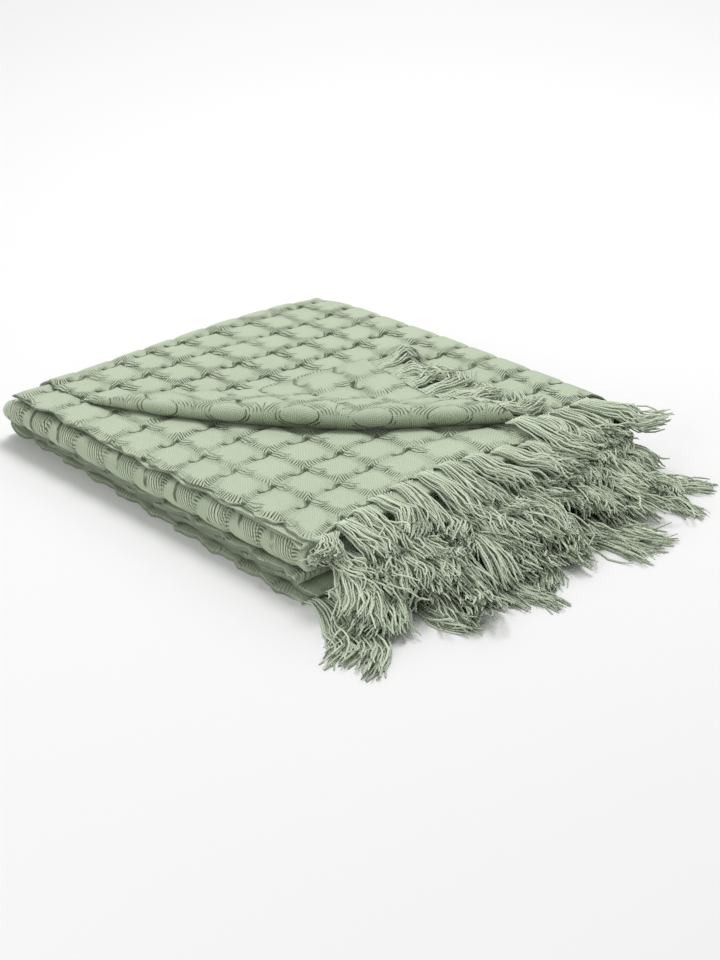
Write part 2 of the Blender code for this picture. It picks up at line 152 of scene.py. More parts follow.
# where the two free selvedges lie, at each whole number from 0 to 7 along the plies and their folds
SELVEDGE_TOP = (0.035, 0.033, 0.028, -0.006, -0.004, 0.004, 0.0, 0.0)
SELVEDGE_BOTTOM = (-0.010, 0.012, 0.004, -0.010, -0.006, 0.006, 0.012, -0.002)
print("plies in the packet:", 4 * len(SECTIONS))


# %% Heights in the stack
def smooth(t):
    """0 to 1, level at both ends."""
    t = np.clip(t, 0.0, 1.0)
    return t * t * (3.0 - 2.0 * t)


def bell(t):
    return np.exp(-t * t)


def column(index):
    return np.array([row[index] for row in SECTIONS], float)


def height(level, x, y):
    """Height of a level of the stack."""
    levels, heights = zip(*STACK)
    rise = np.interp(level, levels, heights) - heights[0]
    across_x = np.clip(x, 0.0, LENGTH)
    across_y = np.clip(y, 0.0, WIDTH)
    share = 1.0 + SWELL * across_x / LENGTH
    for deep, wave_x, wave_y, crest in LUMPS:
        lump = np.sin(math.tau * across_x / wave_x + crest) * np.cos(math.tau * across_y / wave_y + crest)
        share = share + deep * lump
    return heights[0] + rise * share


print("stack's height, left and right:", height(16.0, np.array((0.0, LENGTH)), WIDTH / 2).round(4))


# %% The back-and-forth fold
def across(omega):
    """Whether a place is on a fold, its section, its share of the width, and its part of the piece."""
    piece = np.clip(np.floor(omega).astype(int), 0, 6)
    part = omega - piece
    section = piece // 2
    is_fold = piece % 2 == 1
    at_back = section % 2 == 0
    share = np.where(is_fold, at_back * 1.0, np.where(at_back, part, 1.0 - part))
    return is_fold, section, share, part


def along(sigma, section):
    """Piece, part of the piece, X and level, for a place 0 to 7 over the plies and their folds."""
    piece = np.clip(np.floor(sigma).astype(int), 0, 6)
    t = sigma - piece
    angle = t * math.pi
    rows = np.arange(len(SECTIONS))
    outer, inner, end_a, end_bc = (np.interp(section, rows, column(i)) for i in (2, 3, 4, 5))
    level = np.zeros(t.shape)
    runs = (
        (end_a * (1.0 - t), PLY_A + level),
        (-outer * np.sin(angle), PLY_A * np.cos(angle)),
        (end_bc * t, PLY_B + level),
        (end_bc + END_FOLD * np.sin(angle), (PLY_B + PLY_C) / 2 - 0.5 * np.cos(angle)),
        (end_bc + (inner - end_bc) * t, PLY_C + level),
        (inner - INNER_FOLD * np.sin(angle), PLY_C * np.cos(angle)),
        (inner + level, PLY_D + level),
    )
    return piece, t, np.choose(piece, [run[0] for run in runs]), np.choose(piece, [run[1] for run in runs])


def end_of_d(section, share):
    """X of ply D's fringed end."""
    shares, ends = zip(*TOP_END_D)
    top = np.interp(share, shares, ends)
    lower = np.interp(section, (1, 2, 3), LOWER_END_D)
    return np.where(section <= 1.0, top + (lower - top) * np.clip(section, 0.0, 1.0), lower)


def selvedge(sigma, table):
    return np.interp(sigma, np.arange(8.0), table)


def folded(sigma, omega):
    """The stack's X, Y, Z for places along and across the cloth, before the corner is turned back."""
    is_fold, section, share, part = across(omega)
    section_at = section + is_fold * part
    piece, t, x, level = along(sigma, section_at)
    x = np.where(piece == 6, x + (end_of_d(section_at, share) - x) * t, x)
    fronts = (selvedge(sigma, SELVEDGE_TOP), selvedge(sigma, SELVEDGE_BOTTOM))
    front = np.select((section == 0, section == 3), fronts, FRONT_FOLD)
    middle, facing = column(0), column(1)
    at_back = np.where(section % 2 == 0, 1.0, -1.0)
    radius = FOLD_RADIUS + at_back * level
    turn = part * math.pi
    fold_y = np.where(at_back > 0, WIDTH, FRONT_FOLD) + at_back * radius * FOLD_DEPTH * np.sin(turn)
    fold_level = (middle[section] + middle[np.minimum(section + 1, 3)]) / 2 + radius * np.cos(turn)
    y = np.where(is_fold, fold_y, front + (WIDTH - front) * share)
    at_level = np.where(is_fold, fold_level, middle[section] + facing[section] * level)
    return x, y, height(at_level, x, y)


# %% [markdown]
# ## The turned-back corner
# The front corner of the top ply is rolled up over a slightly bowed diagonal and lies back on the packet.
# It could be bent with a deform modifier, but the roll's radius and bow change along it. A short formula
# that wraps the cloth round a cone-like roll and lets it settle beyond keeps its length true.

# %% The roll
START = np.array((0.074, 0.019))  # where the crease starts, near the left corner
CREASE_ANGLE = math.radians(39.6)
CREASE_LENGTH = 0.361
CREASE_BOW = (-0.020, 0.010)  # how far the roll is past a straight crease, at its ends and in its middle
ROLL_RADIUS = (0.0035, 0.0090, 0.0065)  # at its start, middle and end
BOW_FADES, FLAP_SETTLES, FLAP_GAP = 0.110, 0.060, 0.0026
FLAP_LEVEL = SECTIONS[0][0] + PLY_A
WAY = np.array((math.cos(CREASE_ANGLE), math.sin(CREASE_ANGLE)))
BEYOND = np.array((WAY[1], -WAY[0]))


def roll(tau):
    """Bow of the roll past the crease line, and its radius."""
    share = np.clip(tau / CREASE_LENGTH, 0.0, 1.0)
    bow = CREASE_BOW[0] + (CREASE_BOW[1] - CREASE_BOW[0]) * np.sin(math.pi * share)
    return bow, np.interp(share, (0.0, 0.5, 1.0), ROLL_RADIUS)


def to_crease(x, y):
    """Place along the crease, and turns of the roll past its start, in radians."""
    tau = (x - START[0]) * WAY[0] + (y - START[1]) * WAY[1]
    past = (x - START[0]) * BEYOND[0] + (y - START[1]) * BEYOND[1]
    bow, radius = roll(tau)
    return tau, (past - bow) / radius


def turned_back(x, y, z):
    """Rolls what lies beyond the crease up and back over the packet."""
    tau, turns = to_crease(x, y)
    bow, radius = roll(tau)
    past = turns * radius + bow
    after = np.clip(turns * radius - math.pi * radius, 0.0, None)
    on_roll = bow + radius * np.sin(np.clip(turns, 0.0, math.pi))
    laid = -past + 2.0 * bow * (1.0 - smooth(after / BOW_FADES)) + math.pi * radius
    place = np.where(turns < math.pi, on_roll, laid)
    rise = radius * (1.0 - np.cos(np.clip(turns, 0.0, math.pi)))
    settled = FLAP_GAP + (2.0 * radius - FLAP_GAP) * (1.0 - smooth(after / FLAP_SETTLES))
    rise = np.where(turns < math.pi, rise, settled)
    new_x = START[0] + tau * WAY[0] + place * BEYOND[0]
    new_y = START[1] + tau * WAY[1] + place * BEYOND[1]
    base = height(FLAP_LEVEL, new_x, new_y)
    turned = turns > 0.0
    return np.where(turned, new_x, x), np.where(turned, new_y, y), np.where(turned, base + rise, z)


print("roll's radii:", ROLL_RADIUS)

# %% The cloth's place
CORNER_PULL, CORNER_ROUND = 0.009, 0.028  # the back left corner is drawn in this much, over this distance


def cloth_place(sigma, omega):
    """Folded place of the cloth's middle surface, with the corner turned back, as an array of points."""
    x, y, z = folded(sigma, omega)
    top = (sigma < 1.0) & (omega < 1.0)
    turned = turned_back(x, y, z)
    placed = np.stack([np.where(top, new, old) for new, old in zip(turned, (x, y, z))], axis=-1)
    pull = CORNER_PULL * bell(np.hypot(placed[..., 0], placed[..., 1] - WIDTH) / CORNER_ROUND)
    placed[..., 0] += pull
    placed[..., 1] -= pull
    return placed


# %% [markdown]
# ## The cells of the weave
# Finished cellular cotton has plump plain-woven squares of about 38 mm. Loose floats cross the lines
# between them, and where four cells meet the cloth sinks into a small dark hole. The relief is far larger
# than a thread, so it is made in the mesh. The cloth's flat measure goes with each point as its UV map, and
# the same measure later drives the threads in the material, so that both agree.

# %% Sizes of the cells
CELL = 0.038
PUFF = 0.0016  # height of a cell over the lines round it
PLUMP, PLUMPER = 0.78, 0.40  # the least share of that height, and how much more a cell may have
FAR_SLOPE, NEAR_SLOPE = 0.0055, 0.0125  # a cell rises over these, at its steep and at its gentle edges
LEAN = 0.35  # how far a cell leans over its steep edges, for its height
HOLE = 0.0022  # depth where four cells meet
HOLE_ASIDE, HOLE_NARROW = 0.0014, 0.0026  # a hole has two arms, each this far aside and this narrow
HOLE_ALONG, HOLE_LONG = 0.0025, 0.0060  # and this far along from the meeting point and this long
FLAT_ALONG = np.cumsum((0.0, 0.355, 0.010, 0.366, 0.003, 0.352, 0.003, 0.355))
FLAT_ACROSS = np.cumsum((0.0, 0.333, 0.024, 0.336, 0.026, 0.336, 0.024, 0.345))
MARGIN = 50 * CELL  # keeps the measure positive when it runs backwards
print("cells across the packet:", round(WIDTH / CELL, 1))


# %% Relief of the cells
def flat_measure(sigma, omega):
    """Place on the flat cloth, in metres, with the weave drawn up to 4 mm out of true in long waves."""
    u = np.interp(sigma, np.arange(8.0), FLAT_ALONG)
    v = np.interp(omega, np.arange(8.0), FLAT_ACROSS)
    drawn_u = 0.0022 * np.sin(math.tau * v / 0.21 + 1.0) + 0.0015 * np.sin(math.tau * (u / 0.13 + v / 0.37))
    drawn_v = 0.0021 * np.sin(math.tau * u / 0.19 + 2.1) + 0.0016 * np.sin(math.tau * (v / 0.15 - u / 0.41))
    return u + drawn_u, v + drawn_v


def chance(i, j, turn):
    """A number from 0 to 1 for a whole-number place, the same in each run."""
    wave = np.sin(i * 12.9898 + j * 78.233 + turn) * 43758.5453
    return wave - np.floor(wave)


def cell_relief(u, v):
    """Height of the cells from 0 to about 1, and how much of a hole a place is, from 0 to 1.

    The measure runs so that a cell's steep edges are at low u and at high v.
    """
    cell_u, cell_v = np.floor(u / CELL), np.floor(v / CELL)
    into_u, into_v = u - cell_u * CELL, v - cell_v * CELL
    plump = PLUMP + PLUMPER * chance(cell_u, cell_v, 0.7)
    cells = smooth(into_u / FAR_SLOPE) * smooth((CELL - into_u) / NEAR_SLOPE)
    cells = cells * smooth((CELL - into_v) / FAR_SLOPE) * smooth(into_v / NEAR_SLOPE) * plump
    near_u, near_v = np.round(u / CELL), np.round(v / CELL)
    off_u, off_v = u - near_u * CELL, v - near_v * CELL
    deep = 0.5 + 0.5 * chance(near_u, near_v, 2.9)
    down = bell((off_u + HOLE_ASIDE) / HOLE_NARROW) * bell((off_v + HOLE_ALONG) / HOLE_LONG)
    right = bell((off_v - HOLE_ASIDE) / HOLE_NARROW) * bell((off_u - HOLE_ALONG) / HOLE_LONG)
    return cells, deep * np.maximum(down, right)


# %% [markdown]
# ## Making a sheet of cloth
# A sheet is a grid of places that are moved to their folded place, then given its thickness and relief on
# both sides and closed by a rim. Solidify could give the thickness, but each side here has its own
# relief, and plies that lie on each other must stay flat between them, so both sides are made by hand.

# %% Grid to mesh
def fill_mesh(name, points, faces, uvs, values):
    """A smooth mesh from arrays, with a UV map and named point values."""
    mesh = bpy.data.meshes.new(name)
    mesh.from_pydata(points.tolist(), [], faces.tolist())
    layer = mesh.uv_layers.new(name="flat")
    corners = np.zeros(len(mesh.loops), np.int32)
    mesh.loops.foreach_get("vertex_index", corners)
    layer.data.foreach_set("uv", uvs[corners].astype(np.float32).ravel())
    for key, numbers in values.items():
        attribute = mesh.attributes.new(key, "FLOAT", "POINT")
        attribute.data.foreach_set("value", numbers.astype(np.float32))
    mesh.shade_smooth()
    mesh.update()
    thing = bpy.data.objects.new(name, mesh)
    bpy.context.collection.objects.link(thing)
    return thing


def grid_faces(rows, columns, start, flip):
    index = start + np.arange(rows * columns).reshape(rows, columns)
    corners = [index[:-1, :-1], index[1:, :-1], index[1:, 1:], index[:-1, 1:]]
    faces = np.stack([corner.ravel() for corner in corners], axis=1)
    return faces[:, ::-1] if flip else faces


def rim_faces(rows, columns):
    """Quads that close the edge between the two sides of a grid."""
    index = np.arange(rows * columns).reshape(rows, columns)
    loop = np.concatenate([index[0, :-1], index[:-1, -1], index[-1, :0:-1], index[:0:-1, 0]])
    after = np.roll(loop, -1)
    other = rows * columns
    return np.stack([loop, after, after + other, loop + other], axis=1)


def spaced(cuts):
    """Grid lines from (start, end, count) runs."""
    parts = [np.linspace(low, high, count, endpoint=False) for low, high, count in cuts]
    return np.concatenate(parts + [[cuts[-1][1]]])


# %% Where the cells show
NEAR_EDGE = 0.030  # between plies the cells fade out over this distance from the packet's edges
TOP_CELLS, TURNED_CELLS = 1.25, 0.20  # strength on the top, and on the turned corner's hidden side
EDGE_CELLS, FOLD_CELLS, HIDDEN_CELLS = 0.8, 0.7, 0.25  # at the front, on round folds, and further in
CREVICE = 0.008  # painted shade darkens the packet's top this near the roll
MEDALLION = (0.0155, 0.0082)  # half sizes, along and round the roll, of the row of cells that shows there
MEDALLION_AT, MEDALLION_PITCH, MEDALLION_TURN = 0.0045, 0.0583, 2.00
MEDALLION_RISE = 0.0009


def cell_strengths(sigma, omega, points, turns, packet_turns):
    """How strong the cells are on the inner and the outer side, and how near the front a place is."""
    x, y = points[..., 0], points[..., 1]
    on_top = (sigma < 1.0) & (omega < 1.0)
    turned = smooth((turns - 0.1) / 0.8)
    near_left = 1.0 - smooth((x - 0.004) / NEAR_EDGE)
    near_front = 1.0 - smooth((y - 0.002) / NEAR_EDGE)
    near_back = smooth((y - WIDTH + NEAR_EDGE) / NEAR_EDGE)
    near_side = np.maximum(np.maximum(near_left, near_front), near_back)
    under_roll = np.maximum(smooth((packet_turns + 1.0) / 2.0), smooth((0.045 - y) / 0.010))
    inner = np.where(on_top, turned, 0.0)
    inner = np.where((sigma >= 6.0) & (omega < 1.0), under_roll, inner)
    inner = np.maximum(inner, EDGE_CELLS * near_front * (omega > 6.5))
    in_ply_c = (sigma >= 4.0) & (sigma <= 5.0) & (omega < 1.0)
    inner = np.maximum(inner, EDGE_CELLS * near_front * in_ply_c)
    outer = np.where(sigma <= 3.0, near_side, HIDDEN_CELLS * near_side)
    outer = np.where(on_top, TOP_CELLS - (TOP_CELLS - TURNED_CELLS) * turned, outer)
    outer = np.where((sigma >= 1.0) & (sigma <= 2.0), FOLD_CELLS, outer)
    outer = np.where((omega >= 1.0) & (omega <= 2.0) & (sigma <= 2.0), FOLD_CELLS, outer)
    return inner, outer, near_front


def side_strengths(sigma, omega, points):
    """The cells' strengths, and numbers that tell the finish where the roll, a fold and the painted shade
    beside the roll are.
    """
    flat_x, flat_y, _ = folded(sigma, omega)
    tau, turns = to_crease(flat_x, flat_y)
    packet_tau, packet_turns = to_crease(points[..., 0], points[..., 1])
    inner, outer, near_front = cell_strengths(sigma, omega, points, turns, packet_turns)
    on_top = (sigma < 1.0) & (omega < 1.0)
    on_roll = smooth(turns / 0.6) * (1.0 - smooth((turns - 2.7) / 0.8)) * on_top
    medallion = tau - MEDALLION_AT
    medallion = medallion - np.round(medallion / MEDALLION_PITCH) * MEDALLION_PITCH
    round_roll = (turns - MEDALLION_TURN) * roll(tau)[1]
    on_fold = near_front * (sigma >= 1.9) * (sigma <= 3.1)
    on_fold = on_fold * smooth((omega - 2.8) / 0.15) * smooth((4.2 - omega) / 0.15)
    on_fold = np.maximum(on_fold, 0.5 * near_front * (omega > 6.5))
    past_roll = (packet_turns - 1.0) * roll(packet_tau)[1]
    under_roll = (sigma >= 6.0) & (omega < 1.0) & (packet_tau > 0.0)
    # Painted shade on the packet's top just past the roll, where the roll's shadow falls.
    roll_crevice_shade = smooth((CREVICE - past_roll) / CREVICE) * under_roll
    extras = {
        "roll": on_roll, "medallion": medallion, "round": round_roll, "fold": on_fold, "roll_crevice_shade": roll_crevice_shade,
    }
    return inner, outer, extras


# %% Scalloped edges
SCALLOP, SCALLOP_RISE = 0.0020, 0.0011  # the free edges are drawn in between cells, and wave up and down
SCALLOP_FADES = 0.008


def scalloped(sigma, omega, points):
    """Points with the free selvedges drawn in and out, and the front ones up and down, by each cell."""
    u = np.interp(sigma, np.arange(8.0), FLAT_ALONG)
    ply = np.floor(sigma)
    from_edge = np.minimum(omega, 7.0 - omega) * WIDTH
    fade = np.exp(-from_edge / SCALLOP_FADES)
    wave = np.sin(math.tau * u / CELL + 1.3 * ply) + 0.5 * np.sin(math.tau * u / 0.0151 + 2.1 * ply)
    x = points[..., 0]
    rise = np.sin(math.tau * x / 0.047) + 0.6 * np.sin(math.tau * x / 0.021 + 1.0)
    moved = points.copy()
    moved[..., 1] += SCALLOP * wave * fade
    moved[..., 2] += SCALLOP_RISE * rise * fade * (omega < 1.0)
    return moved


# %% A sheet with two sides
def unit(vectors):
    return vectors / np.linalg.norm(vectors, axis=-1, keepdims=True)


def cloth_sheet(name, sigma_cuts, omega_cuts, inner_way=(1.0, 1.0), outer_way=(-1.0, 1.0)):
    """One piece of the cloth, with thickness, cells and UV map, and its flat size.

    The ways say how the measure runs on each side, so that the cells' steep edges face the back.
    """
    sigma, omega = np.meshgrid(spaced(sigma_cuts), spaced(omega_cuts), indexing="ij")
    middle = scalloped(sigma, omega, cloth_place(sigma, omega))
    steps = [np.linalg.norm(np.diff(middle, axis=axis), axis=-1) for axis in (0, 1)]
    flat = tuple(float(step.sum(axis=axis).mean()) for axis, step in enumerate(steps))
    ways = [unit(np.gradient(middle, axis=axis)) for axis in (0, 1)]
    normal = unit(np.cross(ways[0], ways[1]))
    inner, outer, extras = side_strengths(sigma, omega, middle)
    discs = np.hypot(extras["medallion"] / MEDALLION[0], extras["round"] / MEDALLION[1])
    discs = smooth((1.05 - discs) / 0.25)
    u, v = flat_measure(sigma, omega)
    points, uvs, reliefs = [], [], []
    for sign, strength, way in ((1.0, inner, inner_way), (-1.0, outer, outer_way)):
        side_u, side_v = MARGIN + way[0] * u, MARGIN + way[1] * v
        cells, holes = cell_relief(side_u, side_v)
        on_roll = extras["roll"] * (sign > 0.0)
        holes = holes * (1.0 - on_roll)
        rise = PUFF * cells * strength * (1.0 - on_roll) + MEDALLION_RISE * discs * on_roll
        lift = np.maximum(CLOTH / 2 + rise - HOLE * holes * strength, -CLOTH / 4)
        lean = (ways[1] * way[1] - ways[0] * way[0]) * (LEAN * rise)[..., None]
        points.append((middle + sign * normal * lift[..., None] + lean).reshape(-1, 3))
        uvs.append(np.stack([side_u.ravel(), side_v.ravel()], axis=1))
        reliefs.append(strength.ravel())
    points = np.concatenate(points)
    points[:, 2] = np.maximum(points[:, 2], 0.0)
    rows, columns = sigma.shape
    faces = np.concatenate([
        grid_faces(rows, columns, 0, False),
        grid_faces(rows, columns, rows * columns, True),
        rim_faces(rows, columns),
    ])
    values = {"relief": np.concatenate(reliefs)}
    for key, numbers in extras.items():
        on_outer = 1.0 if key == "fold" else 0.0
        values[key] = np.concatenate([numbers.ravel(), on_outer * numbers.ravel()])
    thing = fill_mesh(name, points - MIDDLE, faces, np.concatenate(uvs), values)
    print(name, "triangles", 2 * len(faces), "flat size", [round(size, 3) for size in flat])
    return thing, flat


# %% [markdown]
# ## The three pieces of the cloth
# The cloth is one piece, but the plies that show need a fine grid and those inside don't. It is made as
# three pieces that meet on plies inside the packet, where no seam shows: the top ply with the turned-back
# corner, the rest of the top section, and the three sections under them.

# %% Cloth
GRID, GRID_SPAN = 0.0020, 0.345  # spacing of the fine grid, and the width of cloth it covers
COARSE = 1.0
fine = int(COARSE * GRID_SPAN / GRID)
top_across = ((0.0, 1.0, fine), (1.0, 2.0, 12), (2.0, 2.3, 3))
top_ply, top_ply_flat = cloth_sheet(
    "cloth_top_ply",
    ((0.0, 1.0, fine), (1.0, 2.0, 10), (2.0, 2.5, 14)),
    top_across,
    inner_way=(1.0, -1.0),
)
top_section, top_section_flat = cloth_sheet(
    "cloth_top_section",
    ((2.5, 3.0, 12), (3.0, 4.0, 4), (4.0, 5.0, 16), (5.0, 6.0, 4), (6.0, 7.0, fine)),
    top_across,
)
lower, lower_flat = cloth_sheet(
    "cloth_lower_sections",
    (
        (0.0, 0.85, 60), (0.85, 1.0, 16), (1.0, 2.0, 12), (2.0, 2.1, 12), (2.1, 3.0, 70),
        (3.0, 4.0, 4), (4.0, 5.0, 30), (5.0, 6.0, 4), (6.0, 7.0, 30),
    ),
    (
        (2.3, 2.88, 10), (2.88, 3.0, 12), (3.0, 4.0, 20), (4.0, 4.12, 12), (4.12, 4.9, 12), (4.9, 5.0, 10),
        (5.0, 6.0, 16), (6.0, 6.1, 10), (6.1, 6.9, 22), (6.9, 7.0, 16),
    ),
)

# %% [markdown]
# ## Fringe
# At the woven ends the loose warp yarns are gathered and knotted every 25 mm into tassels. Each tassel is
# 44 soft kinked yarns round a tight core. Hair would look right, but it is lost in the export. Each yarn is
# a thin four-sided tube instead, and a row of tassels is one joined mesh. The rows fall over the edge of
# the stack and lie on one another on the floor, as the solids' locks do.

# %% Sizes of the fringe
TASSEL_PITCH = 0.0247
YARN = 0.00076  # a yarn's radius
YARNS = 44
SIDES = 4
STATIONS = 14  # rings along each yarn
KNOT_AT, KNOT_WIDTH, KNOT_HEIGHT = 0.007, 0.0072, 0.0030  # the gather's place, half width and half height
ROOT_HEIGHT = 0.0008  # a tassel's half height at the cloth's end
OPENS = 0.45  # below 1, a tassel opens soon after its knot
# The core is a dark filler inside each tassel. It takes the yarns' darkest tone, as painted shade in the
# gaps between the yarns.
CORE_SIDES, CORE_SHARE, CORE_LENGTH, CORE_TAPER = 10, 0.55, 0.90, 0.25
ROWS = (
    # name, section from the top, ply, reach and height of the tips, bare edge before the first tassel
    ("fringe_1_floor", 3, "A", 0.490, 0.0020, 0.0060),
    ("fringe_2", 3, "D", 0.472, 0.0045, 0.0110),
    ("fringe_3", 2, "D", 0.456, 0.0090, 0.0090),
    ("fringe_4", 2, "A", 0.446, 0.0150, 0.0080),
    ("fringe_5", 1, "A", 0.434, 0.0215, 0.0060),
    ("fringe_6", 1, "D", 0.423, 0.0290, 0.0110),
    ("fringe_7_top", 0, "D", 0.411, 0.0370, 0.0060),
)
# Kinds of tassels: half width at the cloth, half height at the tip, and how far they bend and lift
ON_FLOOR = (0.0110, 0.0026, 0.0090, 0.0)
DOWN_THE_STACK = (0.0125, 0.0050, 0.0045, 0.0035)
OVER_THE_TOP = (0.0130, 0.0060, 0.0110, 0.0070)
ON_THE_TOP = (0.0115, 0.0038, 0.0110, 0.0030)
dice = np.random.default_rng(7)
print("rows of fringe:", len(ROWS) + 1)


# %% Yarns as tubes
def ring_faces(count, stations, sides):
    """Quads between the rings of tubes."""
    index = np.arange(count * stations * sides).reshape(count, stations, sides)
    after = np.roll(index, -1, axis=2)
    return np.stack([index[:, :-1], after[:, :-1], after[:, 1:], index[:, 1:]], axis=-1).reshape(-1, 4)


def tubes(paths, radii, sides):
    """Tubes along paths, an array of yarns by stations by X, Y, Z. Returns points, faces and UVs."""
    count, stations, _ = paths.shape
    ahead = np.gradient(paths, axis=1)
    ahead /= np.linalg.norm(ahead, axis=-1, keepdims=True) + 1e-12
    upward = np.array((0.13, 0.07, 1.0))
    side = np.cross(ahead, upward)
    side /= np.linalg.norm(side, axis=-1, keepdims=True) + 1e-12
    above = np.cross(side, ahead)
    angles = math.tau * np.arange(sides) / sides
    ring = np.cos(angles)[:, None] * side[:, :, None] + np.sin(angles)[:, None] * above[:, :, None]
    rings = paths[:, :, None] + radii[:, :, None, None] * ring
    steps = np.linalg.norm(np.diff(paths, axis=1), axis=-1)
    length = np.concatenate([np.zeros((count, 1)), steps.cumsum(axis=1)], axis=1)
    uvs = np.zeros((count, stations, sides, 2))
    uvs[..., 0] = length[:, :, None]
    uvs[..., 1] = angles / math.tau
    return rings.reshape(-1, 3), ring_faces(count, stations, sides)[:, ::-1], uvs.reshape(-1, 2)


def join_parts(parts):
    """Joins (points, faces, uvs, shade) parts into one set of arrays."""
    points = np.concatenate([part[0] for part in parts])
    starts = np.cumsum([0] + [len(part[0]) for part in parts[:-1]])
    faces = np.concatenate([part[1] + start for part, start in zip(parts, starts)])
    uvs = np.concatenate([part[2] for part in parts])
    shades = np.concatenate([part[3] for part in parts])
    return points, faces, uvs, shades


# %% Kinks and cores
KINK_WAVES = ((0.6, 1.0), (1.3, 0.60), (2.6, 0.22), (4.6, 0.08))  # waves along a yarn, and their strengths
KINK_ASIDE, KINK_UP = 0.0032, 0.0024


def kinks(count, s, size):
    """Sideways wander of yarns: a few waves each, growing from the knot to the tip."""
    wander = np.zeros((count, len(s)))
    for waves, share in KINK_WAVES:
        turns = dice.uniform(0.7, 1.3, (count, 1)) * waves
        begin = dice.uniform(0.0, math.tau, (count, 1))
        wander += share * (np.sin(math.tau * turns * s + begin) - np.sin(begin) * (1.0 - s))
    return wander * size * np.power(s, 0.6)


def core(place, side, up, wide, tall):
    """The tight inside of a tassel, a flattened tube that tapers to its tip. Its shade number is 0, the
    darkest yarn tone, as painted shade between the yarns.
    """
    angles = math.tau * np.arange(CORE_SIDES) / CORE_SIDES
    rings = place[:, None] + side[:, None] * (wide[:, None] * np.cos(angles))[..., None]
    rings = rings + up[:, None] * (tall[:, None] * np.sin(angles))[..., None]
    uvs = np.zeros((len(place), CORE_SIDES, 2))
    uvs[..., 1] = np.arange(CORE_SIDES) * 2.0
    quads = ring_faces(1, len(place), CORE_SIDES)
    return rings.reshape(-1, 3), quads, uvs.reshape(-1, 2), np.zeros(rings.size // 3)


# %% One tassel
YARN_LENGTHS = (0.82, 1.03)  # shares of the tassel's length
WILD_FROM, WILD = 0.88, 2.6  # the yarns whose number is over the first kink this much more
STRAY = 0.08  # how far a yarn is from its even place in the bundle
TONE, PAINTED_SHADE_BY_LAYER, TONE_VARIES = 0.55, 0.40, 0.18  # yarns low in the bundle get painted shade and those high in it are lighter; each also differs at random in tone


def tassel(spine, tip_width, kind, curl=1.0, lowest=0.0):
    """A gathered bundle of yarns along a spine, as parts to join."""
    root_width, tip_height, bend, lift = kind
    s = np.linspace(0.0, 1.0, STATIONS)
    length = spine["length"]
    bends, lifts = kinks(1, s, bend * curl), np.abs(kinks(1, s, lift * curl))
    turn = np.arange(YARNS) * math.pi * (3.0 - math.sqrt(5.0)) + dice.uniform(0.0, math.tau)
    out = np.sqrt((np.arange(YARNS) + 0.5) / YARNS)
    slot_at = (out * np.cos(turn))[:, None] + dice.uniform(-STRAY, STRAY, (YARNS, 1))
    layer_at = (out * np.sin(turn))[:, None] + dice.uniform(-STRAY, STRAY, (YARNS, 1))

    def girth(distance):
        """How far past the knot a place is, from 0 to 1, and the bundle's half width and height there."""
        past_knot = np.clip((distance - KNOT_AT) / (length - KNOT_AT), 0.0, 1.0)
        gathered = smooth(distance / KNOT_AT)
        opened = np.power(past_knot, OPENS)
        wide = KNOT_WIDTH + (tip_width - KNOT_WIDTH) * opened
        wide = root_width * (1.0 - gathered) + gathered * wide
        tall = KNOT_HEIGHT + (tip_height - KNOT_HEIGHT) * opened
        tall = ROOT_HEIGHT * (1.0 - gathered) + gathered * tall
        return past_knot, wide, tall

    distance = s[None, :] * length * dice.uniform(*YARN_LENGTHS, (YARNS, 1))
    place, side, up = spine["at"](distance)
    past_knot, wide, tall = girth(distance)
    wild = np.where(dice.uniform(0.0, 1.0, (YARNS, 1)) > WILD_FROM, WILD, 1.0)
    loose = past_knot * wild
    aside = slot_at * wide + bends * past_knot + kinks(YARNS, s, KINK_ASIDE) * loose
    upward = layer_at * tall + lifts * past_knot + kinks(YARNS, s, KINK_UP) * loose
    paths = place + side * aside[..., None] + up * upward[..., None]
    paths[..., 2] = np.maximum(paths[..., 2], lowest + YARN)
    radii = YARN * dice.uniform(0.85, 1.15, (YARNS, 1)) * np.where(s > 0.99, 0.6, 1.0)[None, :]
    # Painted shade by each yarn's place in the bundle, plus a random tone of its own.
    tone_and_shade = TONE + PAINTED_SHADE_BY_LAYER * layer_at[:, 0] + dice.uniform(-TONE_VARIES, TONE_VARIES, YARNS)
    tones_and_shades = np.repeat(np.clip(tone_and_shade, 0.0, 1.0), STATIONS * SIDES)
    place, side, up = spine["at"](s * length * CORE_LENGTH)
    past_knot, wide, tall = girth(s * length * CORE_LENGTH)
    middle = place + side * (bends[0] * past_knot)[:, None] + up * (lifts[0] * past_knot)[:, None]
    taper = np.sqrt(np.clip((1.0 - s) / CORE_TAPER, 0.0, 1.0))
    inside = core(middle, side, up, wide * CORE_SHARE * taper, tall * CORE_SHARE * taper)
    inside[0][:, 2] = np.maximum(inside[0][:, 2], lowest + 0.0004)
    return [(*tubes(paths, radii, SIDES), tones_and_shades), inside]


# %% Spines
THATCH = 1.9  # how much steeper a row falls at its tips


def spine_along(points):
    """A spine along a line of points, which goes on straight past its end."""
    gone = np.concatenate([[0.0], np.linalg.norm(np.diff(points, axis=0), axis=1).cumsum()])
    ways = np.gradient(points, axis=0)

    def at(distance):
        place = np.stack([np.interp(distance, gone, points[:, k]) for k in range(3)], axis=-1)
        way = unit(np.stack([np.interp(distance, gone, ways[:, k]) for k in range(3)], axis=-1))
        place = place + way * np.clip(distance - gone[-1], 0.0, None)[..., None]
        side = unit(np.cross(np.array((0.0, 0.0, 1.0)), way))
        return place, side, np.cross(way, side)

    return {"length": float(gone[-1]), "at": at}


def hanging_spine(root, tip, lean):
    """A spine that goes out over the stack's edge and falls ever steeper to its tip's X and height."""
    run = np.linspace(0.0, 1.0, 60)
    x = root[0] + (tip[0] - root[0]) * run
    y = root[1] + lean * (x - root[0]) * (0.4 + 0.6 * run)
    z = root[2] + (tip[1] - root[2]) * np.power(run, THATCH)
    return spine_along(np.stack([x, y, z], axis=1))


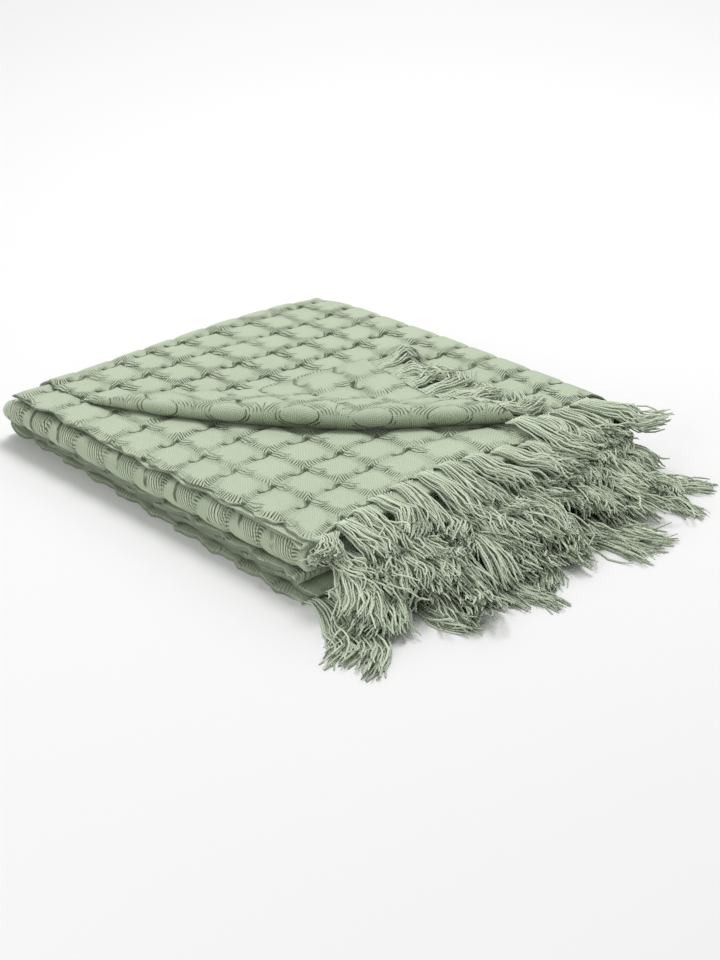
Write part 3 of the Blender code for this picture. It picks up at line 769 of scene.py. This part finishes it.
# %% The seven straight rows
FAN = (-0.42, 0.08)  # how far the tassels lean aside, at the front and at the back
LEAN_WAVE, LEAN_VARIES = 0.055, 0.34
REACH_WAVE, REACH_VARIES, HEIGHT_VARIES = 0.007, 0.008, 0.003
CORNER, CORNER_FAN = 0.030, 0.15  # the tassels this near the front corner lean more
CORNER_SHORT = (0.036, 0.012)  # and reach less far, in the two lowest rows and in the others
BACK_SHORT, BACK_FROM = 0.034, 0.70  # less reach from this share of the width to the back corner
LOWEST = 0.0020  # height of the tips on the floor
FLOOR_TIPS, STACK_TIPS, CURLS = (0.0085, 0.0135), (0.0085, 0.0160), (0.7, 2.0)


def join_row(name, parts, count):
    """One mesh from a row's tassels."""
    points, faces, uvs, shades = join_parts(parts)
    thing = fill_mesh(name, points - MIDDLE, faces, uvs, {"shade": shades})
    print(name, "tassels", count, "triangles", 2 * len(faces))
    return thing


def fringe_row(order, row):
    name, section, ply, reach, tip_height, bare = row
    middle_level, facing = SECTIONS[section][:2]
    level = middle_level + facing * (PLY_A if ply == "A" else PLY_D)
    table = SELVEDGE_TOP if section == 0 else SELVEDGE_BOTTOM
    front = float(selvedge(0.0 if ply == "A" else 7.0, table)) if section in (0, 3) else FRONT_FOLD
    parts = []
    y = front + bare + 0.007
    count = 0
    while y < WIDTH - 0.004:
        share = np.array([(y - front) / (WIDTH - front)])
        end = SECTIONS[section][4] if ply == "A" else float(end_of_d(np.array([float(section)]), share)[0])
        lean = FAN[0] + (FAN[1] - FAN[0]) * y / WIDTH + LEAN_WAVE * math.sin(1.1 * count + order)
        lean += float(dice.uniform(-LEAN_VARIES, LEAN_VARIES))
        corner = math.exp(-((y / CORNER) ** 2))
        lean -= CORNER_FAN * corner
        tip_x = reach + REACH_WAVE * math.sin(1.7 * count + order)
        tip_x += float(dice.uniform(-REACH_VARIES, REACH_VARIES))
        less_reach = CORNER_SHORT[0 if order < 2 else 1] * corner
        less_reach += BACK_SHORT * float(smooth((y / WIDTH - BACK_FROM) / 0.30))
        tip_z = tip_height + (0.0 if order == 0 else float(dice.uniform(-HEIGHT_VARIES, HEIGHT_VARIES)))
        root_z = float(height(level, np.array([end]), np.array([y]))[0])
        spine = hanging_spine((end - 0.0005, y, root_z), (tip_x - less_reach, max(LOWEST, tip_z)), lean)
        if order == 0:
            parts += tassel(spine, float(dice.uniform(*FLOOR_TIPS)), ON_FLOOR)
        else:
            curl = float(dice.uniform(*CURLS))
            parts += tassel(spine, float(dice.uniform(*STACK_TIPS)), DOWN_THE_STACK, curl)
        y += TASSEL_PITCH
        count += 1
    return join_row("yarns_" + name, parts, count)


fringe = {row[0]: fringe_row(order, row) for order, row in enumerate(ROWS)}

# %% [markdown]
# ## Fringe of the turned-back corner
# The same tassels at the end of the top ply come over with the corner and lie curled on the packet's top.
# Their roots are found by moving the ply's edge through the roll, as the cloth was moved.

# %% The flap's row
OVER_TOP = (0.406, 0.040)  # reach and height of its tips where the top ply isn't turned back
OVER_TIP, TOP_TIP = 0.0150, 0.0090
FLAP_LEAN = 0.55
FLAP_TASSEL, FLAP_TASSEL_VARIES = 0.046, 0.008
TO_THE_BACK = np.array((0.6, 0.6, 0.0))
PACKET_TOP = 0.045


def on_flap(x, y):
    """Place on the top ply, and the way out of its end, turned back where it is."""
    step = 1e-4
    points = []
    for dx in (0.0, step):
        px, py = np.array([x + dx]), np.array([y])
        moved = turned_back(px, py, height(FLAP_LEVEL, px, py))
        points.append(np.array([float(part[0]) for part in moved]))
    out = points[1] - points[0]
    return points[0], out / np.linalg.norm(out)


def lying_spine(root, out, length, lean):
    """A spine from the flap's edge down onto the packet's top."""
    run = np.linspace(0.0, 1.0, 40)
    way = out[:2] / np.linalg.norm(out[:2])
    aside = np.array((-way[1], way[0]))
    flat = root[:2] + (way + aside * lean * run[:, None]) * (length * run)[:, None]
    lying = height(FLAP_LEVEL, flat[:, 0], flat[:, 1]) + 0.0034
    z = root[2] + (lying - root[2]) * smooth(run * 2.0)
    return spine_along(np.stack([flat[:, 0], flat[:, 1], z], axis=1))


def flap_row():
    end = SECTIONS[0][4]
    parts = []
    y = SELVEDGE_TOP[0] + 0.016
    count = 0
    while y < WIDTH - 0.004:
        root, out = on_flap(end, y)
        lean = float(dice.uniform(-FLAP_LEAN, FLAP_LEAN))
        if out[0] > 0.3:
            spine = hanging_spine(root, (OVER_TOP[0] + 0.02 * lean, OVER_TOP[1]), lean * 0.5)
            parts += tassel(spine, OVER_TIP, OVER_THE_TOP)
        else:
            length = FLAP_TASSEL + float(dice.uniform(-FLAP_TASSEL_VARIES, FLAP_TASSEL_VARIES))
            spine = lying_spine(root, out + 0.35 * TO_THE_BACK, length, lean)
            parts += tassel(spine, TOP_TIP, ON_THE_TOP, lowest=PACKET_TOP)
        y += TASSEL_PITCH
        count += 1
    return join_row("yarns_fringe_8_flap", parts, count)


fringe["fringe_8_flap"] = flap_row()

# %% [markdown]
# ## Finish of the woven cotton
# Close up the cells are plain weave of soft matte threads. Short float ribs cross the lines between cells,
# with dark slits between them. An image could show it, but a pattern worked out from the flat measure
# stays sharp from any side, follows every fold, and lines up with the relief in the mesh.

# %% Colours and surface of the cotton
SAGE = (0.525, 0.600, 0.445)
LIT_YARN = (0.720, 0.800, 0.630)
SHADE = (0.045, 0.070, 0.022)
COTTON = {
    "Roughness": 0.92,
    "Specular IOR Level": 0.18,
    "Sheen Weight": 0.22,
    "Sheen Roughness": 0.6,
    "Sheen Tint": (0.85, 0.92, 0.80, 1.0),
}


def cotton(name, bump_depth):
    """A matte cotton material, its tree, its UV map, U and V, and the plugs for its colour and bumps."""
    paint = bpy.data.materials.new(name)
    paint.use_nodes = True
    tree = paint.node_tree
    shader = tree.nodes["Principled BSDF"]
    for key, value in COTTON.items():
        shader.inputs[key].default_value = value
    flat = tree.nodes.new("ShaderNodeUVMap")
    flat.uv_map = "flat"
    split = tree.nodes.new("ShaderNodeSeparateXYZ")
    tree.links.new(flat.outputs["UV"], split.inputs["Vector"])
    bump = tree.nodes.new("ShaderNodeBump")
    bump.inputs["Strength"].default_value = 1.0
    bump.inputs["Distance"].default_value = bump_depth
    tree.links.new(bump.outputs["Normal"], shader.inputs["Normal"])
    plugs = shader.inputs["Base Color"], bump.inputs["Height"]
    return paint, tree, flat.outputs["UV"], (split.outputs["X"], split.outputs["Y"]), plugs


print("cotton:", COTTON)


# %% Sums and products of sockets
# A socket knows the tree that it is in, so a helper adds its node to the tree of the sockets it is given.
def calc(operation, *inputs):
    """A Math node; each input is a socket or a number, and at least one is a socket."""
    tree = next(value.id_data for value in inputs if not isinstance(value, (int, float)))
    node = tree.nodes.new("ShaderNodeMath")
    node.operation = operation
    for plug, value in zip(node.inputs, inputs):
        if isinstance(value, (int, float)):
            plug.default_value = value
        else:
            tree.links.new(value, plug)
    return node.outputs[0]


def chain(operation, values):
    """Joins values by one operation, from the first to the last."""
    result = values[0]
    for value in values[1:]:
        result = calc(operation, result, value)
    return result


def product(*values):
    return chain("MULTIPLY", values)


def total(*values):
    return chain("ADD", values)


def less(*values):
    return chain("SUBTRACT", values)


def largest(*values):
    return chain("MAXIMUM", values)


# %% Ramps, noise and colours
def ramp(value, low, high, to_low=0.0, to_high=1.0):
    """A Map Range node that eases from one number to another."""
    tree = value.id_data
    node = tree.nodes.new("ShaderNodeMapRange")
    node.interpolation_type = "SMOOTHSTEP"
    for key, number in (("From Min", low), ("From Max", high), ("To Min", to_low), ("To Max", to_high)):
        node.inputs[key].default_value = number
    tree.links.new(value, node.inputs["Value"])
    return node.outputs["Result"]


def noise(vector, scale, detail=2.0):
    tree = vector.id_data
    node = tree.nodes.new("ShaderNodeTexNoise")
    node.inputs["Scale"].default_value = scale
    node.inputs["Detail"].default_value = detail
    tree.links.new(vector, node.inputs["Vector"])
    return node.outputs["Fac"]


def astray(vector, scale, size):
    """Noise from minus to plus half a size."""
    return product(less(noise(vector, scale), 0.5), size)


def point_value(tree, name):
    node = tree.nodes.new("ShaderNodeAttribute")
    node.attribute_name = name
    return node.outputs["Fac"]


def two_tones(share, dark, light):
    """A mix of two colours, by a share that is held between 0 and 1."""
    share.node.use_clamp = True
    tree = share.id_data
    node = tree.nodes.new("ShaderNodeMix")
    node.data_type = "RGBA"
    node.inputs["A"].default_value = (*dark, 1.0)
    node.inputs["B"].default_value = (*light, 1.0)
    tree.links.new(share, node.inputs["Factor"])
    return node.outputs["Result"]


# %% Lines and bands
def band(value, low, high, soft):
    """1 between two values, easing to 0 over a soft width outside them."""
    return product(ramp(value, low - soft, low), ramp(value, high, high + soft, 1.0, 0.0))


def line(value, centre, full, none):
    """1 within a distance of the centre, which is a socket or a number, easing to 0 further out."""
    away = calc("ABSOLUTE", less(value, centre))
    return ramp(away, full, none, 1.0, 0.0)


def slits(place, spacing):
    """Narrow dark slits 0 to 1 at each multiple of the spacing."""
    wave = calc("COSINE", product(place, math.tau / spacing))
    return ramp(wave, 0.0, 0.85)


def further(value, other):
    """1 where a value is larger than another and 0 where it is smaller, easing over 2 mm each way."""
    return ramp(less(value, other), -0.002, 0.002)


# %% Slits round the cells
RIBS = 14  # floats along each side of a cell
FAN_OUT = 0.55  # how far the slits turn towards the middle of their cell
RIM = (0.0108, 0.0150)  # the slits start and are full this far from a cell's middle
FAR_SIDES = 0.35  # strength of the slits on a cell's steep sides


def rim_slits(p, q, uv):
    """Slits round the edges of each cell, that fan out from its middle. P and Q are from its middle."""
    wide, tall = calc("ABSOLUTE", p), calc("ABSOLUTE", q)
    spread = FAN_OUT / (CELL / 2)
    place_u = product(q, less(1.0 + FAN_OUT, product(wide, spread)))
    place_v = product(p, less(1.0 + FAN_OUT, product(tall, spread)))
    lower_right = product(further(p, tall), ramp(q, 0.003, 0.011, 1.0, 0.15))
    upper_left = further(product(p, -1.0), tall)
    lower_left = further(product(q, -1.0), wide)
    lower_left = product(lower_left, ramp(p, -0.011, -0.003, 0.15, 1.0))
    upper_right = further(q, wide)
    along_u = total(lower_right, product(upper_left, FAR_SIDES))
    along_v = total(lower_left, product(upper_right, FAR_SIDES))
    cubes = total(calc("POWER", wide, 3.0), calc("POWER", tall, 3.0))
    out = total(calc("POWER", cubes, 1.0 / 3.0), astray(uv, 260.0, 0.007))
    sets = largest(
        product(slits(place_u, CELL / RIBS), along_u),
        product(slits(place_v, CELL / RIBS), along_v),
    )
    uneven = ramp(noise(uv, 48.0, 3.0), 0.38, 0.58, 0.35, 1.0)
    return product(sets, ramp(out, *RIM), uneven)


# %% Hooks where four cells meet
STRAND = 0.0023  # spacing of the long floats beside a meeting point
ARM, SECOND_ARM = (0.0009, 0.0021), (0.0003, 0.0012)  # half widths, where they are dark and where they end
BESIDE, SECOND_SHARE = 0.0028, 0.6  # the second arm's distance from the first, and its strength
APEX_OFF, APEX = 0.0008, (0.0009, 0.0030)


def hooks_at(a, b):
    """The dark curled openings at a meeting point. A and B are from the point, along U and V."""
    down = product(b, -1.0)
    bends_out = ramp(down, -0.0015, 0.0065, -0.0015, 0.0030)
    curve = less(bends_out, ramp(down, 0.0095, 0.0135, 0.0, 0.0050))
    arm = product(line(a, curve, *ARM), band(down, -0.0015, 0.0125, 0.0020))
    second = line(a, less(curve, BESIDE), *SECOND_ARM)
    second = product(second, band(down, 0.0010, 0.0105, 0.0020))
    bent = less(b, ramp(a, 0.0080, 0.0140, 0.0010, 0.0036))
    strands = product(
        slits(bent, STRAND),
        band(bent, -0.0006, 0.0050, 0.0008),
        band(a, -0.0010, 0.0115, 0.0035),
        ramp(bent, 0.0010, 0.0030, 1.0, 0.5),
    )
    apex_a, apex_b = total(a, APEX_OFF), less(b, APEX_OFF)
    square = total(product(apex_a, apex_a), product(apex_b, apex_b))
    apex = ramp(calc("SQRT", square), *APEX, 1.0, 0.0)
    return largest(arm, product(second, SECOND_SHARE), strands, apex)


def chance_at(u, v):
    """A number from 0.6 to 1 for each meeting point."""
    tree = u.id_data
    both = tree.nodes.new("ShaderNodeCombineXYZ")
    for key, value in (("X", u), ("Y", v)):
        tree.links.new(calc("ROUND", calc("DIVIDE", value, CELL)), both.inputs[key])
    node = tree.nodes.new("ShaderNodeTexWhiteNoise")
    tree.links.new(both.outputs["Vector"], node.inputs["Vector"])
    return ramp(node.outputs["Value"], 0.0, 0.5, 0.6, 1.0)


# %% Floats on the roll and on the front folds
OUTER_RING, RING_WIDTH = 1.22, 0.055  # for a medallion's size
RINGS = (
    # size, scale and start of the noise that breaks it, strength
    (1.0, 150.0, 0.38, 1.0),
    (OUTER_RING, 110.0, 0.44, 0.8),
)
FLOAT, SLANT = 0.0027, 0.45  # spacing of the front folds' floats, and how they slant


def medallion_lines(uv):
    """Thin floats round each medallion of the roll, and a fan of them over it."""
    long = calc("DIVIDE", point_value(uv.id_data, "medallion"), MEDALLION[0])
    tall = calc("DIVIDE", point_value(uv.id_data, "round"), MEDALLION[1])
    away = calc("SQRT", total(product(long, long), product(tall, tall)))
    away = total(away, astray(uv, 120.0, 0.22))
    wider = total(1.0, product(tall, tall, 1.5))
    loops = []
    for ring, scale, start, strength in RINGS:
        off = calc("DIVIDE", calc("ABSOLUTE", less(away, ring)), wider)
        broken = ramp(noise(uv, scale), start, start + 0.13, 0.1, 1.0)
        loops.append(product(ramp(off, 0.0, RING_WIDTH, 1.0, 0.0), broken, strength))
    fan = product(
        slits(less(away, OUTER_RING), 0.19),
        band(away, OUTER_RING, 1.8, 0.06),
        ramp(tall, -0.1, 0.5),
        ramp(noise(uv, 90.0), 0.36, 0.52),
    )
    return largest(*loops, fan)


def fold_floats(u, v, uv):
    """Groups of slanting floats on the front folds, with dark notches and painted shade between the groups.
    """
    tilted = total(u, product(v, SLANT), astray(uv, 26.0, 0.013))
    tilted = calc("WRAP", tilted, CELL / 2, -CELL / 2)
    groups = product(slits(tilted, FLOAT), band(tilted, -0.0075, 0.0075, 0.0030), 0.85)
    broken = ramp(noise(uv, 55.0), 0.42, 0.56)
    notch = product(line(tilted, 0.0125, 0.0010, 0.0040), broken)
    # Painted shade on the sunken plain cloth between the groups.
    between = ramp(calc("ABSOLUTE", tilted), 0.0070, 0.0110, 0.0, 0.30)
    return largest(groups, notch, between)


# %% Woven cotton
STRIPE = 0.0024  # spacing of the fine stripes on a cell's top
THREAD = 0.0022  # spacing of two crossings of the ground weave
OFF_TRUE = 0.0060  # how far the pattern strays from its even place
HOOK_DARK, SLIT_DARK, RING_DARK, BRAID_DARK = 0.98, 0.92, 0.70, 0.85
STRIPE_DARK, THREAD_DARK, THREAD_ON_ROLL = 0.15, 0.04, 0.20
# The first two amounts are painted shade: on the roll's underside, and on the packet's top beside the roll.
UNDER_ROLL_PAINTED_SHADE, CREVICE_PAINTED_SHADE, PATCH_DARK, GRAIN_DARK = 0.80, 0.45, 0.16, 0.34
LIGHTEST = 0.98
WEAVE_DEPTH = 0.0010


def woven_cotton():
    paint, tree, uv, measures, (colour, bumps) = cotton("woven_cotton", WEAVE_DEPTH)
    drawn = [total(way, astray(uv, scale, OFF_TRUE)) for way, scale in zip(measures, (60.0, 77.0))]
    u, v = drawn
    a, b = [calc("WRAP", way, CELL / 2, -CELL / 2) for way in drawn]
    p, q = [calc("WRAP", total(way, CELL / 2), CELL / 2, -CELL / 2) for way in drawn]
    relief, rolled, fold = (point_value(tree, key) for key in ("relief", "roll", "fold"))
    off_roll, off_fold = less(1.0, rolled), less(1.0, fold)
    smaller = ramp(relief, 1.0, 1.25, 0.88, 0.70)
    hooks = hooks_at(product(a, smaller), product(b, smaller))
    hooks = product(hooks, chance_at(u, v), relief, off_roll, off_fold)
    cuts = product(rim_slits(p, q, uv), relief, less(1.0, product(rolled, 0.85)))
    rings = product(medallion_lines(uv), rolled)
    braid = product(fold_floats(u, v, uv), fold)
    stripes = slits(total(p, q), STRIPE)
    grain = less(noise(uv, 700.0, 3.0), 0.5)
    patches = less(noise(uv, 22.0, 4.0), 0.5)
    warp, weft = [calc("SINE", product(way, math.tau / THREAD)) for way in drawn]
    dots = product(warp, weft, total(product(rolled, THREAD_ON_ROLL), THREAD_DARK))
    # Painted shade: the roll is darkened towards its underside, by how far round the roll a place is.
    painted_roll_shade = ramp(point_value(tree, "round"), -0.012, 0.006, UNDER_ROLL_PAINTED_SHADE, 0.0)
    openings = largest(
        product(hooks, HOOK_DARK),
        product(cuts, SLIT_DARK),
        product(rings, RING_DARK),
        product(braid, BRAID_DARK),
    )
    # The weave's own dark marks and tone, with painted shade on the roll's underside and in the crevice
    # beside it.
    dark = total(
        openings,
        product(stripes, STRIPE_DARK),
        dots,
        product(rolled, painted_roll_shade),
        product(point_value(tree, "roll_crevice_shade"), CREVICE_PAINTED_SHADE),
        product(patches, PATCH_DARK),
        product(grain, GRAIN_DARK),
    )
    tree.links.new(two_tones(less(LIGHTEST, dark), SHADE, SAGE), colour)
    tree.links.new(less(product(grain, 0.5), hooks, cuts, rings, braid, product(stripes, 0.12)), bumps)
    return paint


weave = woven_cotton()
for piece in (top_ply, top_section, lower):
    piece.data.materials.append(weave)
print("nodes in the weave:", len(weave.node_tree.nodes))

# %% [markdown]
# ## Finish of the yarns
# The tassels' yarns are loosely twisted, so each shows fine slanting stripes, and they differ a little in
# tone. The twist is worked out from the tube's own UV map, and the tone from a number kept with each yarn.
# That number also holds painted shade: darker for yarns low in a bundle, and darkest on the core.

# %% Cotton yarn
TWIST = 0.0032  # length of one turn of the twist
YARN_DARKEST, BY_TWIST, BY_TONE_AND_SHADE = 0.31, 0.06, 0.69
YARN_DEPTH = 0.0002


def cotton_yarn():
    paint, tree, _, (along_yarn, round_yarn), (colour, bumps) = cotton("cotton_yarn", YARN_DEPTH)
    twist = calc("SINE", total(product(along_yarn, math.tau / TWIST), product(round_yarn, math.tau)))
    tone_and_shade = product(point_value(tree, "shade"), BY_TONE_AND_SHADE)
    share = total(product(twist, BY_TWIST), YARN_DARKEST, tone_and_shade)
    tree.links.new(two_tones(share, SHADE, LIT_YARN), colour)
    tree.links.new(twist, bumps)
    return paint


yarn = cotton_yarn()
for piece in fringe.values():
    piece.data.materials.append(yarn)
print("yarn rows:", len(fringe))

# %% [markdown]
# ## Tying the pieces to the frame
# Each piece rides on the one body and stands for its solids. The cloth's flat size before it was folded
# is printed as each sheet is made.

for piece in (top_ply, top_section, lower):
    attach(piece, "root")
    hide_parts("bedspread_cloth")
for node, piece in fringe.items():
    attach(piece, "root")
    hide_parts(node)

print("pieces:", 3 + len(fringe))
